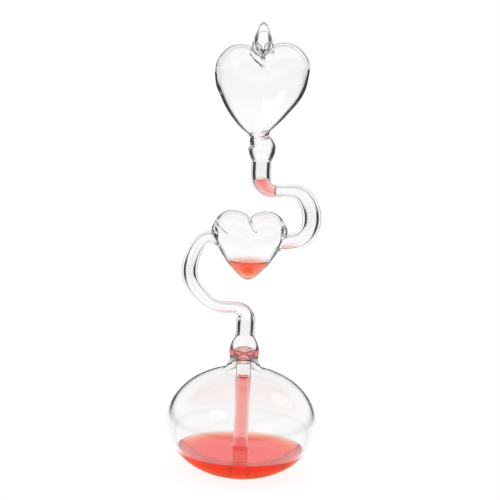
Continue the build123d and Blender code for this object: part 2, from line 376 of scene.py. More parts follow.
# ---------------------------------------------------------------- finishes
@dataclass(frozen=True)
class ClearGlass:
    """Fire-polished borosilicate glass.

    The ripple's scale is in waves a metre, and its depth is in metres.
    """

    name: str = "clear_glass"
    tint: Colour = (0.993, 0.996, 0.995, 1.0)
    shade: Colour = (0.985, 0.985, 0.985, 1.0)
    ior: float = 1.47
    ripple_scale: float = 90.0
    ripple_depth: float = 0.00004

    def material(self) -> bpy.types.Material:
        """Makes the material.

        Returns:
            The glass, which lets lamps through to what is behind it.
        """
        made = bpy.data.materials.new(self.name)
        tree = Tree(made)
        where = tree.node("ShaderNodeTexCoord", out="Object")
        ripple = tree.node("ShaderNodeTexNoise", {}, {
            "Vector": where, "Scale": self.ripple_scale, "Detail": 1.0, "Roughness": 0.4})
        wavy = tree.node("ShaderNodeBump", {}, {
            "Strength": 1.0, "Distance": self.ripple_depth, "Height": ripple})
        body = tree.node("ShaderNodeBsdfPrincipled", {}, {
            "Base Color": self.tint, "Roughness": 0.0, "IOR": self.ior,
            "Transmission Weight": 1.0, "Normal": wavy})
        tree.node("ShaderNodeOutputMaterial", {}, {"Surface": tree.lamplit(body, self.shade)})
        return made


@dataclass(frozen=True)
class RedLiquid:
    """Clear liquid with a red dye, whose strength is per metre."""

    name: str = "red_liquid"
    ior: float = 1.36
    dye: Colour = (1.0, 0.33, 0.0, 1.0)
    strength: float = 390.0
    shade: Colour = (1.0, 0.95, 0.945, 1.0)

    def material(self) -> bpy.types.Material:
        """Makes the material.

        Returns:
            The liquid, whose colour deepens with its thickness.
        """
        made = bpy.data.materials.new(self.name)
        tree = Tree(made)
        body = tree.node("ShaderNodeBsdfPrincipled", {}, {
            "Base Color": WHITE, "Roughness": 0.0, "IOR": self.ior,
            "Transmission Weight": 1.0})
        dye = tree.node("ShaderNodeVolumeAbsorption", {},
                        {"Color": self.dye, "Density": self.strength})
        tree.node("ShaderNodeOutputMaterial", {},
                  {"Surface": tree.lamplit(body, self.shade), "Volume": dye})
        return made


# ---------------------------------------------------------------- the hearts' form
@dataclass(frozen=True)
class Crease:
    """A thick fold of glass inside the front of a heart, from one point to another."""

    start: tuple[float, float]
    end: tuple[float, float]
    width: float
    depth: float

    def dent(self, x: np.ndarray, z: np.ndarray) -> np.ndarray:
        """How deep the fold is.

        Args:
            x: Places across.
            z: Heights.

        Returns:
            The depths.
        """
        (x0, z0), (x1, z1) = self.start, self.end
        run, drop = x1 - x0, z1 - z0
        share = np.clip(((x - x0) * run + (z - z0) * drop) / (run**2 + drop**2), 0, 1)
        off = np.hypot(x - x0 - share * run, z - z0 - share * drop)
        return self.depth * np.exp(-((off / self.width) ** 2)) * (1 - 0.5 * share)


@dataclass
class HeartForm:
    """A puffed heart with a rounded cleft, as upright slices from side to side."""

    middle_x: float
    half_width: float
    half_depth: float
    left_lows: Rows
    left_highs: Rows
    right_lows: Rows
    right_highs: Rows
    point: float
    creases: tuple[Crease, ...] = ()
    shares: tuple[float, ...] = (0.08, 0.2, 0.35, 0.5, 0.64, 0.77, 0.88, 0.955, 0.992)
    side_round: float = 2.2
    side_sharp: float = 1.2
    cleft_dip: float = 0.05
    point_wall: float = 0.35

    def table(self, inset: float) -> np.ndarray:
        """Reads the slices finely.

        Args:
            inset: How far the skin is moved inwards.

        Returns:
            Rows of x, underside, lobe, half depth and foot sharpness.
        """
        rows = []
        for side in [-s for s in reversed((0.0,) + self.shares)][:-1] + [0.0, *self.shares]:
            s = abs(side)
            lows, highs = ((self.left_lows, self.left_highs) if side < 0
                           else (self.right_lows, self.right_highs))
            low = (np.interp(s * self.half_width, *np.transpose(lows))
                   + inset * (1 + self.point_wall * (1 - s)))
            high = np.interp(s * self.half_width, *np.transpose(highs)) - inset
            depth = ((self.half_depth - inset) * math.sqrt(1 - s**self.side_round)
                     * (1 - self.cleft_dip * (1 - s) ** 4))
            rows.append((self.middle_x + side * (self.half_width - inset), high, low, depth,
                         self.point + self.side_sharp * s * s))
        for end, x in ((0, -1), (-1, 1)):
            _, high, low, _, sharp = rows[end]
            tip = (self.middle_x + x * (self.half_width - inset), (high + low) / 2,
                   (high + low) / 2, 0.0, sharp)
            rows.insert(0 if end == 0 else len(rows), tip)
        track = Track(rows)
        value = track.at(track.evenly(FINE))[0]
        return value[np.argsort(value[:, 0])][:, [0, 2, 1, 3, 4]]

    def filled(self, inset: float) -> Filled:
        """The test that says which points are inside this heart.

        Args:
            inset: How far the skin is moved inwards.

        Returns:
            A function of x, y and z.
        """
        table = self.table(inset)
        creases = self.creases if inset > 0 else ()
        sharps = np.linspace(0, 1.5, 61)
        u = np.linspace(0, 1, 401)
        widest = [float((np.sqrt(u * u + 2 * p * u) * np.sqrt(1 - u)).max()) for p in sharps]

        def inside(x: np.ndarray, y: np.ndarray, z: np.ndarray) -> np.ndarray:
            """True where the point is inside.

            Args:
                x: Places across.
                y: Places front to back.
                z: Heights.

            Returns:
                One answer for each point.
            """
            low, high, depth, sharp = (np.interp(x, table[:, 0], table[:, c], left=0, right=0)
                                       for c in (1, 2, 3, 4))
            share = np.clip((z - low) / np.maximum(high - low, 1e-6), 0, 1)
            reach = (depth * np.sqrt(share**2 + 2 * sharp * share) * np.sqrt(1 - share)
                     / np.interp(sharp, sharps, widest))
            dent = sum((crease.dent(x, z) for crease in creases), np.zeros_like(reach))
            return (y < reach) & (-y < reach - dent) & (high > low)
        return inside


def edge(held: Callable[[np.ndarray], np.ndarray], reach: np.ndarray) -> np.ndarray:
    """How far rays go before they leave a shape.

    Args:
        held: The test that is true where a point that far along its ray is inside.
        reach: The longest each ray may be.

    Returns:
        The distances.
    """
    low, high = np.zeros_like(reach), reach
    for _ in range(HALVINGS):
        middle = (low + high) / 2
        within = held(middle)
        low, high = np.where(within, middle, low), np.where(within, high, middle)
    return low


def burst(inside: Filled, axis_height: Any, centre: tuple[float, float], upright: bool,
          angles: np.ndarray, around: int, reach: float = 40.0) -> np.ndarray:
    """Rings where rays from a centre leave a shape.

    Args:
        inside: The test for the shape.
        axis_height: Height of the rings' axis at each x, for a level axis.
        centre: The centre's x and z.
        upright: True for rings about an upright axis, False for a level one along x.
        angles: The rings' angles from the axis, from its low or left end.
        around: The points in a ring.
        reach: The longest ray.

    Returns:
        The rings.
    """
    turn = np.linspace(0, 2 * math.pi, around, endpoint=False)
    phi = angles[:, None]
    along, out = -np.cos(phi) * np.ones_like(turn), np.sin(phi)

    def place(far: np.ndarray) -> tuple[np.ndarray, np.ndarray, np.ndarray]:
        """The points that far along the rays.

        Args:
            far: How far each point is along its ray.

        Returns:
            The points' x, y and z.
        """
        if upright:
            return (centre[0] - far * out * np.sin(turn), far * out * np.cos(turn),
                    centre[1] + far * along)
        x = centre[0] + far * along
        return x, far * out * np.cos(turn), axis_height(x) + far * out * np.sin(turn)

    return np.stack(place(edge(lambda far: inside(*place(far)), np.full_like(along, reach))),
                    axis=-1)


def eased(rings: np.ndarray, weights: np.ndarray, rounds: int) -> np.ndarray:
    """Rounds off the folds that run along the rings, and keeps the first and last ring.

    Args:
        rings: The rings.
        weights: How strongly each ring is eased.
        rounds: How many times.

    Returns:
        The new rings.
    """
    rings = rings.copy()
    w = weights[1:-1, None, None] * 0.5
    for _ in range(rounds):
        rings[1:-1] += w * ((rings[:-2] + rings[2:]) / 2 - rings[1:-1])
    return rings


# ---------------------------------------------------------------- sub-assemblies
class Body(Enum):
    """The bodies that pieces ride on."""

    VESSEL = "vessel"
    LEVEL = "riser_level"


class Kind(Enum):
    """What a piece is made of."""

    GLASS = "clear_glass"
    LIQUID = "red_liquid"


@dataclass
class Palette:
    """The finishes of the toy."""

    glass: bpy.types.Material
    liquid: bpy.types.Material
    thin_liquid: bpy.types.Material
    # Painted shade: a greyer, warmer copy of the clear glass that darkens the base bulb.
    shaded_bulb_glass: bpy.types.Material


def stand_in(made: bpy.types.Object, kind: Kind, *nodes: str) -> None:
    """Hides the nodes that a piece stands for and logs how many faces it has.

    Args:
        made: The piece.
        kind: Not used.
        nodes: The nodes that it replaces.
    """
    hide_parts(*nodes)
    log.info("%s: %d faces", made.name, len(made.data.polygons))


def fit(skin: Skin, node: str, kind: Kind, material: bpy.types.Material) -> None:
    """Makes a piece that stays with the vessel and stands for one node.

    Args:
        skin: Its mesh.
        node: The node that it replaces, whose name its own begins with.
        kind: What it is made of.
        material: Its finish.
    """
    made = skin.piece(node + ("_glass" if kind is Kind.GLASS else "_fill"), material)
    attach(made, Body.VESSEL.value)
    stand_in(made, kind, node)


def crisp(points: np.ndarray, looped: bool = False) -> np.ndarray:
    """Adds a point close to each sharp corner, so that the faces beside it shade true.

    Args:
        points: The profile.
        looped: True if its ends join.

    Returns:
        The profile with the new points.
    """
    rows = []
    for i, point in enumerate(points):
        ends = not looped and i in (0, len(points) - 1)
        before, after = points[i - 1] - point, points[(i + 1) % len(points)] - point
        sizes = np.linalg.norm(before), np.linalg.norm(after)
        sharp = not ends and before @ after > -STRAIGHT * sizes[0] * sizes[1]
        if sharp and sizes[0] > 3 * NEAR:
            rows.append(point + before * NEAR / sizes[0])
        rows.append(point)
        if sharp and sizes[1] > 3 * NEAR:
            rows.append(point + after * NEAR / sizes[1])
    return np.array(rows)


def dished(radius: float, rim_z: float, sag: float, rings: int = 10) -> np.ndarray:
    """Profile of a liquid's top in a tube, from the rim in to the middle."""
    share = np.linspace(1, 0.02, rings)
    return np.column_stack([radius * share, rim_z - sag * (1 - share**2)])


@dataclass
class BaseBulb:
    """Round base bulb with its dip tube, ring seal, pool and riser column."""

    radius: float = 30.2
    middle_z: float = 20.2
    rise: float = 22.8
    foot_radius: float = 12.3
    wall: float = 1.1
    shoulder: float = 72.5
    neck_outside: Rows = ((8.56, 42.14), (8.03, 42.48), (7.43, 43.03), (6.86, 43.76),
                          (6.2, 44.93), (5.65, 46.6))
    neck_inside: Rows = ((7.94, 41.2), (7.09, 41.74), (6.25, 42.52), (5.53, 43.45),
                         (4.91, 44.58), (4.45, 46.6))
    foot_round: float = 0.35
    foot_share: float = 0.72
    dip_radius: float = 2.95
    dip_bore: float = 2.05
    mouth_z: float = 2.0
    dip_top_z: float = 51.4
    seal_under: Rows = ((2.9, 45.2), (3.5, 45.75), (4.5, 46.1))
    seal_over: Rows = ((4.5, 47.9), (3.7, 47.15), (2.9, 47.5))
    pool_z: float = 9.8
    pool_creep: float = 0.35
    column_z: float = 39.2
    meniscus: float = 3.0
    column_sag: float = 0.85

    def profile(self, inset: float, neck: Rows) -> np.ndarray:
        """Half section from the middle of the foot up to the neck's end.

        Args:
            inset: How far the skin is moved inwards.
            neck: The neck's (radius, height) rows.

        Returns:
            The (radius, height) rows.
        """
        across, up = self.radius - inset, self.rise - inset
        down = self.middle_z / math.sqrt(1 - (self.foot_radius / self.radius) ** 2) - inset
        r = np.linspace(0.4, across * self.foot_share, 60)
        over = self.middle_z - down * np.sqrt(1 - (r / across) ** 2) - inset
        foot = inset + (over + np.sqrt(over**2 + self.foot_round**2)) / 2
        start = -math.acos(self.foot_share)
        lower = np.linspace(start, 0, 46)[1:]
        upper = np.linspace(0, math.radians(self.shoulder), 70)[1:]
        rim = (across * math.cos(upper[-1]), self.middle_z + up * math.sin(upper[-1]))
        way = (-across * math.sin(upper[-1]), up * math.cos(upper[-1]))
        flare = Track([rim, *neck], way, (0, 1))
        return np.concatenate([
            np.column_stack([r, foot]),
            np.column_stack([across * np.cos(lower), self.middle_z + down * np.sin(lower)]),
            np.column_stack([across * np.cos(upper), self.middle_z + up * np.sin(upper)]),
            flare.at(flare.evenly(0.25))[0][1:]])

    def bulb(self, palette: Palette) -> None:
        """Blows the bulb.

        Args:
            palette: The finishes.
        """
        skin = Skin()
        skin.wrap(turned(self.profile(0, self.neck_outside)), first_pole=True)
        skin.wrap(turned(self.profile(self.wall, self.neck_inside)), inward=True, first_pole=True)
        fit(skin, "base_bulb", Kind.GLASS, palette.shaded_bulb_glass)

    def dip_tube(self, palette: Palette) -> None:
        """Draws the straight tube with its fire-polished ends.

        Args:
            palette: The finishes.
        """
        low, high, corner = self.mouth_z, self.dip_top_z, 0.25
        arc = np.linspace(0, math.pi / 2, 6)
        outer, inner = self.dip_radius - corner, self.dip_bore + corner
        loop = np.concatenate([
            np.column_stack([outer + corner * np.sin(arc), low + corner * (1 - np.cos(arc))]),
            np.column_stack([outer + corner * np.cos(arc), high - corner * (1 - np.sin(arc))]),
            np.column_stack([inner - corner * np.sin(arc), high - corner * (1 - np.cos(arc))]),
            np.column_stack([inner - corner * np.cos(arc), low + corner * (1 - np.sin(arc))])])
        skin = Skin().wrap(turned(loop, around=NARROW), looped=True)
        fit(skin, "dip_tube", Kind.GLASS, palette.glass)

    def ring_seal(self, palette: Palette) -> None:
        """Fuses the web between the dip tube and the neck.

        Args:
            palette: The finishes.
        """
        under, over = Track(self.seal_under), Track(self.seal_over)
        loop = np.concatenate([under.at(under.evenly(0.2))[0], over.at(over.evenly(0.2))[0]])
        skin = Skin().wrap(turned(loop, around=NARROW), looped=True)
        fit(skin, "ring_seal", Kind.GLASS, palette.glass)

    def pool(self, palette: Palette) -> None:
        """Pours the pool, which creeps up the glass at its edges.

        Args:
            palette: The finishes.
        """
        wall = self.profile(self.wall - WET, self.neck_inside)
        wall = wall[wall[:, 1] < self.pool_z + self.pool_creep]
        rim = float(wall[-1, 0])
        hole = self.dip_radius - WET
        r = rim - (rim - hole) * (1 - np.cos(np.linspace(0, math.pi, 60))) / 2
        top = (self.pool_z + (wall[-1, 1] - self.pool_z) * np.exp(-(rim - r) / 0.9)
               + self.pool_creep * np.exp(-(r - hole) / 0.8))
        down = np.linspace(top[-1], self.mouth_z + WET, 12)[1:]
        under = np.linspace(hole, 0.2, 8)[1:]
        profile = np.concatenate([
            wall, np.column_stack([r, top])[1:], np.column_stack([np.full(11, hole), down]),
            np.column_stack([under, np.full(7, self.mouth_z + WET)])])
        skin = Skin().wrap(turned(crisp(profile)), first_pole=True, last_pole=True)
        fit(skin, "base_liquid", Kind.LIQUID, palette.liquid)

    def column(self, palette: Palette) -> None:
        """Fills the dip tube with the column and its dished top.

        Args:
            palette: The finishes.
        """
        r, shoulder = self.dip_bore + WET, self.column_z - self.meniscus
        profile = np.concatenate([
            [(0.4, self.mouth_z), (r, self.mouth_z), (r, shoulder), (r, self.column_z - 0.2)],
            dished(r, self.column_z, self.column_sag)])
        skin = Skin().wrap(turned(crisp(profile), around=NARROW), first_pole=True,
                           last_pole=True)
        made = skin.piece("riser_fill", palette.thin_liquid)
        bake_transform(made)
        stand_in(made, Kind.LIQUID, "riser_column", "riser_meniscus")

    def build(self, palette: Palette) -> None:
        """Makes every piece of the base.

        Args:
            palette: The finishes.
        """
        self.bulb(palette)
        self.dip_tube(palette)
        self.ring_seal(palette)
        self.pool(palette)
        self.column(palette)


@dataclass
class LowerCollar:
    """Short bulge over the ring seal, with the liquid that lies in it."""

    outside: Rows = ((5.65, 46.6), (5.88, 50.0), (5.65, 51.9), (4.7, 54.3), (3.72, 57.2))
    inside: Rows = ((4.45, 46.6), (4.45, 47.9), (4.7, 50.0), (4.5, 51.8), (3.35, 54.2),
                    (2.12, 57.2))
    level_z: float = 50.3
    creep: float = 0.5
    seal_top_z: float = 47.9
    floor: Rows = ((2.9, 47.4), (3.7, 47.1), (4.5, 47.85))

    def build(self, palette: Palette) -> None:
        """Makes the collar and the ring of liquid.

        Args:
            palette: The finishes.
        """
        outside, inside = (Track(rows, (0, 1), (0, 1)) for rows in (self.outside, self.inside))
        skin = Skin().wrap(turned(outside.at(outside.evenly(0.2))[0], around=WIDE))
        skin.wrap(turned(inside.at(inside.evenly(0.2))[0], around=WIDE), inward=True)
        fit(skin, "lower_collar", Kind.GLASS, palette.glass)
        wall = inside.at(inside.evenly(0.15))[0] + (WET, 0)
        wall = wall[(wall[:, 1] > self.seal_top_z) & (wall[:, 1] < self.level_z + self.creep)]
        tube_r, tube_z = self.floor[0]
        r = np.linspace(wall[-1, 0], tube_r, 14)[1:]
        top = (self.level_z + self.creep * np.exp(-(wall[-1, 0] - r) / 0.4)
               + self.creep * np.exp(-(r - tube_r) / 0.4))
        floor = Track(self.floor)
        bottom = floor.at(np.linspace(0, floor.length, 9))[0]
        side = np.linspace(top[-1], tube_z, 8)[1:-1]
        loop = np.concatenate([bottom, wall, np.column_stack([r, top]),
                               np.column_stack([np.full(6, tube_r), side])])
        skin = Skin().wrap(turned(crisp(loop, True), around=WIDE), looped=True)
        fit(skin, "collar_liquid", Kind.LIQUID, palette.thin_liquid)


@dataclass
class Tube:
    """One run of bent tubing."""

    node: str
    rows: Rows
    start: tuple[float, float]
    end: tuple[float, float]
    bore: float | Sequence[float]

    def track(self) -> Track:
        """The outside's run."""
        return Track(self.rows, self.start, self.end)

    def bore_track(self) -> Track:
        """The bore's run, whose radii are listed or a share of the outside's.

        Returns:
            The track.
        """
        radii = ([r * self.bore for _, _, r in self.rows] if isinstance(self.bore, float)
                 else self.bore)
        return Track([(x, z, bore) for (x, z, _), bore in zip(self.rows, radii)],
                     self.start, self.end)

    def build(self, palette: Palette) -> None:
        """Draws the tube, open at its welds.

        Args:
            palette: The finishes.
        """
        outside, inside = self.track(), self.bore_track()
        skin = Skin().wrap(swept(outside, outside.evenly(0.3)))
        skin.wrap(swept(inside, inside.evenly(0.3)), inward=True)
        fit(skin, self.node, Kind.GLASS, palette.glass)


@dataclass
class Tubing:
    """The stems, the two bends and the upper collar, with the liquid caught in them."""

    lower_stem: Tube = field(default_factory=lambda: Tube(
        "lower_stem", [(0, 57.2, 3.72), (0.05, 60.0, 3.72), (0.1, 62.5, 3.72), (-0.05, 64.4, 3.4),
                       (-0.95, 66.1, 2.95), (-2.7, 67.25, 2.6), (-5.0, 67.6, 2.5)],
        (0, 1), (-1, 0), [2.12, 2.12, 2.12, 1.94, 1.68, 1.4, 1.25]))
    lower_bend: Tube = field(default_factory=lambda: Tube(
        "lower_bend", [(-5.0, 67.6, 2.5), (-8.2, 67.5, 2.55), (-11.2, 67.95, 2.55),
                       (-14.8, 69.5, 2.65), (-18.2, 72.3, 2.9), (-20.7, 75.2, 3.0),
                       (-22.4, 78.4, 3.1), (-23.1, 81.9, 3.15), (-22.8, 85.6, 3.05),
                       (-21.6, 89.6, 2.8), (-19.9, 92.9, 2.55), (-17.7, 95.25, 2.45),
                       (-15.3, 96.0, 2.45)], (-1, 0), (1, 0), 0.5))
    upper_bend: Tube = field(default_factory=lambda: Tube(
        "upper_bend", [(15.2, 95.4, 3.6), (17.7, 95.7, 3.55), (20.5, 96.7, 3.5),
                       (22.8, 98.8, 3.5), (24.2, 101.7, 3.65), (24.6, 105.4, 3.75),
                       (24.0, 109.0, 3.65), (22.5, 112.2, 3.4), (20.3, 114.6, 3.1),
                       (17.6, 115.9, 2.8), (14.6, 116.0, 2.5), (11.5, 115.85, 2.5)],
        (1, 0), (-1, 0), 0.5))
    upper_stem: Tube = field(default_factory=lambda: Tube(
        "upper_stem", [(11.5, 115.85, 2.5), (9.4, 115.85, 2.6), (7.2, 116.2, 2.9),
                       (5.4, 117.3, 3.3), (4.25, 119.2, 3.75), (3.75, 121.8, 3.97),
                       (3.7, 125.0, 3.97), (3.7, 128.0, 3.97)],
        (-1, 0), (0, 1), [1.25, 1.42, 1.65, 1.88, 2.14, 2.263, 2.263, 2.263]))
    upper_collar: Tube = field(default_factory=lambda: Tube(
        "upper_collar", [(3.7, 128.0, 3.97), (3.7, 129.9, 4.75), (3.7, 131.6, 5.2),
                         (3.6, 133.3, 5.4), (3.15, 135.1, 4.6), (2.4, 136.8, 3.65)],
        (0, 1), (0, 1), [2.263, 3.1, 3.75, 3.9, 3.1, 2.1]))
    slug_top_z: float = 120.9
    slug_end_x: float = 10.0
    slug_bulges: tuple[float, float] = (0.9, 0.7)
    trace_floor: Rows = ((11.0, 95.4, 1.85), (13.2, 95.35, 1.825), (15.2, 95.4, 1.8),
                         (17.7, 95.7, 1.775), (20.5, 96.7, 1.75), (22.8, 98.8, 1.75))
    trace_z: float = 94.45
    trace_from_x: float = 13.4
    trace_to_x: float = 19.4
    trace_depth: float = 1.1
    trace_sag: float = 0.12

    def slug(self, palette: Palette) -> None:
        """Catches a slug of liquid in the upper stem's turn.

        Args:
            palette: The finishes.
        """
        track = self.upper_stem.bore_track()
        fine = track.evenly(FINE)
        value = track.at(fine)[0]
        first = fine[np.argmax(value[:, 0] < self.slug_end_x)]
        last = fine[np.argmax(value[:, 1] > self.slug_top_z)]
        share = np.linspace(0.03, 1, 9)[:-1]
        start = first + self.slug_bulges[0] * (1 - share**2)
        stop = last - self.slug_bulges[1] * (1 - share[::-1] ** 2)
        middle = np.linspace(first, last, 60)
        places = np.concatenate([start, middle, stop])
        scale = np.concatenate([share, np.ones(60), share[::-1]])
        rings = swept(track, places, 1.0, WET)
        centres = track.at(places)[0]
        axis = np.stack([centres[:, 0], 0 * centres[:, 0], centres[:, 1]], -1)[:, None]
        rings = axis + (rings - axis) * scale[:, None, None]
        skin = Skin().wrap(rings, first_pole=True, last_pole=True)
        fit(skin, "bend_liquid", Kind.LIQUID, palette.thin_liquid)

    def trace(self, palette: Palette) -> None:
        """Lays the trace of liquid on the floor of the right arm and the bend's foot.

        Args:
            palette: The finishes.
        """
        floor = Track(self.trace_floor, (1, 0))
        fine = floor.evenly(FINE)
        value = floor.at(fine)[0]
        kept = (value[:, 0] > self.trace_from_x) & (value[:, 0] < self.trace_to_x)
        value = value[kept][::4]
        share = np.linspace(0, 1, len(value))
        level = np.minimum(self.trace_z, value[:, 1] - value[:, 2] + self.trace_depth
                           * np.sin(math.pi * np.clip(share, 0.02, 0.98)) ** 0.5)
        r = value[:, 2] + WET
        half = np.arccos(np.clip((value[:, 1] - level) / r, 0, 0.999))
        sweep = np.linspace(-1, 1, 25)
        arc = half[:, None] * sweep
        low = np.stack([value[:, :1] + 0 * arc, r[:, None] * np.sin(arc),
                        value[:, 1:2] - r[:, None] * np.cos(arc)], -1)
        back = sweep[::-1][1:-1]
        wide = r[:, None] * np.sin(half[:, None] * back)
        high = np.stack([value[:, :1] + 0 * wide, wide, level[:, None]
                         - self.trace_sag * (1 - back**2) * np.sin(half)[:, None]], -1)
        rings = np.concatenate([low, high], axis=1)
        skin = Skin().wrap(rings, first_pole=True, last_pole=True)
        fit(skin, "arm_liquid", Kind.LIQUID, palette.thin_liquid)

    def build(self, palette: Palette) -> None:
        """Makes the tubes and what lies in them.

        Args:
            palette: The finishes.
        """
        for tube in (self.lower_stem, self.lower_bend, self.upper_bend, self.upper_stem,
                     self.upper_collar):
            tube.build(palette)
        self.slug(palette)
        self.trace(palette)


MIDDLE_LOWS = ((0, 79.4), (1.2, 79.6), (2.8, 80.5), (5.5, 83.2), (8.6, 86.5), (10.2, 89.2),
               (12.3, 92.5), (14.0, 95.9), (15.1, 98.9))
MIDDLE_HIGHS = ((0, 104.5), (1.2, 105.4), (3.0, 106.4), (5.3, 107.1), (7.6, 107.3),
                (10.0, 106.7), (12.0, 105.4), (13.7, 103.2), (15.1, 100.0))
TOP_LEFT_LOWS = ((0, 135.6), (4.1, 138.2), (6.5, 140.0), (9.8, 143.3), (13.4, 148.0),
                 (16.0, 153.2), (17.9, 157.4), (18.65, 162.2))
TOP_LEFT_HIGHS = ((0, 171.0), (1.5, 172.3), (4.0, 173.3), (7.5, 174.0), (10.8, 174.0),
                  (13.5, 172.9), (16.15, 170.3), (18.0, 167.0), (18.65, 163.2))
TOP_RIGHT_LOWS = ((0, 135.6), (4.3, 140.2), (7.6, 143.4), (11.1, 147.4), (15.1, 152.4),
                  (17.25, 156.6), (18.3, 161.0), (18.65, 165.4))
TOP_RIGHT_HIGHS = ((0, 171.0), (1.5, 172.5), (4.0, 174.3), (7.0, 175.3), (10.0, 175.4),
                   (13.0, 174.5), (15.75, 172.4), (17.7, 169.6), (18.65, 166.4))


@dataclass
class MiddleHeart:
    """Heart bulb with an arm on each side and liquid in its point."""

    form: HeartForm = field(default_factory=lambda: HeartForm(
        0.1, 15.1, 9.3, MIDDLE_LOWS, MIDDLE_HIGHS, MIDDLE_LOWS, MIDDLE_HIGHS, 0.07,
        (Crease((-0.9, 105.2), (2.6, 100.6), 0.45, 1.9),
         Crease((-13.4, 102.4), (-8.7, 99.0), 0.42, 0.9))))
    wall: float = 0.85
    centre: tuple[float, float] = (0.1, 95.6)
    left_arm: Rows = ((-15.3, 96.0, 2.45), (-13.4, 96.1, 2.75), (-11.0, 96.1, 3.6),
                      (-8.5, 96.0, 4.2))
    right_arm: Rows = ((11.0, 95.4, 3.7), (13.2, 95.35, 3.65), (15.2, 95.4, 3.6))
    bore: float = 0.5
    level_z: float = 87.3
    creep: float = 0.5
    foot_z: float = 80.4
    pool_reach: float = 14.0
    crowding: float = 0.11
    left_ease: float = 0.22
    right_ease: float = 0.3

    def axis(self, x: np.ndarray) -> np.ndarray:
        """Height of the line through both arms.

        Args:
            x: Places across.

        Returns:
            The heights.
        """
        (x0, z0, _), (x1, z1, _) = self.left_arm[0], self.right_arm[-1]
        share = np.clip((x - x0) / (x1 - x0), 0, 1)
        return z0 + (z1 - z0) * share**2 * (3 - 2 * share)

    def shell(self, inset: float, share: float) -> np.ndarray:
        """Rings of one skin, from the left arm's end to the right arm's.

        Args:
            inset: How far the skin is moved inwards.
            share: The arms' radius as a share of their outside.

        Returns:
            The rings.
        """
        heart = self.form.filled(inset)
        arms = [np.array(sorted(rows), float) for rows in (self.left_arm, self.right_arm)]

        def inside(x: np.ndarray, y: np.ndarray, z: np.ndarray) -> np.ndarray:
            """True inside the heart or an arm.

            Args:
                x: Places across.
                y: Places front to back.
                z: Heights.

            Returns:
                One answer for each point.
            """
            held = heart(x, y, z)
            off = np.hypot(y, z - self.axis(x))
            for rows in arms:
                r = np.interp(x, rows[:, 0], rows[:, 2], left=rows[0, 2], right=rows[-1, 2])
                in_run = (x <= rows[-1, 0]) if rows[0, 0] < 0 else (x >= rows[0, 0])
                held |= in_run & (off < r * share)
            return held

        (left_x, _, left_r), (right_x, _, right_r) = self.left_arm[0], self.right_arm[-1]
        first = math.atan2(left_r * share, self.centre[0] - left_x)
        last = math.pi - math.atan2(right_r * share, right_x - self.centre[0])
        steps = np.linspace(0, 1, 230)
        angles = first + (last - first) * (
            steps - self.crowding * np.sin(2 * math.pi * steps))
        rings = burst(inside, self.axis, self.centre, False, angles, 200)
        near = (np.exp(-((angles - angles[0]) / self.left_ease) ** 4)
                + np.exp(-((angles - angles[-1]) / self.right_ease) ** 4))
        return eased(rings, np.clip(near, 0, 1), EASINGS)

    def liquid(self, palette: Palette) -> None:
        """Pours the liquid into the heart's point.

        Args:
            palette: The finishes.
        """
        inside = self.form.filled(self.wall - WET)
        rim_z = self.level_z + self.creep
        heights = rim_z - (rim_z - self.foot_z) * (1 - np.linspace(0, 1, 50)) ** 1.5
        turn = np.linspace(0, 2 * math.pi, 144, endpoint=False)
        level = np.repeat(heights[:, None], len(turn), 1)

        def place(far: np.ndarray) -> tuple[np.ndarray, np.ndarray, np.ndarray]:
            """The points that far out from the middle at each height.

            Args:
                far: How far out each point is.

            Returns:
                The points' x, y and z.
            """
            return self.form.middle_x - far * np.sin(turn), far * np.cos(turn), level

        far = edge(lambda out: inside(*place(out)), np.full_like(level, self.pool_reach))
        rings = list(np.stack(place(far), -1))
        rim = rings[-1]
        centre = np.array([self.form.middle_x, 0, 0])
        for share in np.linspace(1, 0.03, 24)[1:]:
            flat = centre + (rim - centre) * (share, share, 0)
            gap = np.linalg.norm((rim - flat)[:, :2], axis=1)
            flat[:, 2] = self.level_z + self.creep * np.exp(-gap / 0.7)
            rings.append(flat)
        skin = Skin().wrap(np.array(rings), first_pole=True, last_pole=True)
        fit(skin, "heart_liquid", Kind.LIQUID, palette.liquid)

    def build(self, palette: Palette) -> None:
        """Blows the heart and fills it.

        Args:
            palette: The finishes.
        """
        skin = Skin().wrap(self.shell(0, 1.0))
        skin.wrap(self.shell(self.wall, self.bore), inward=True)
        fit(skin, "middle_heart", Kind.GLASS, palette.glass)
        self.liquid(palette)


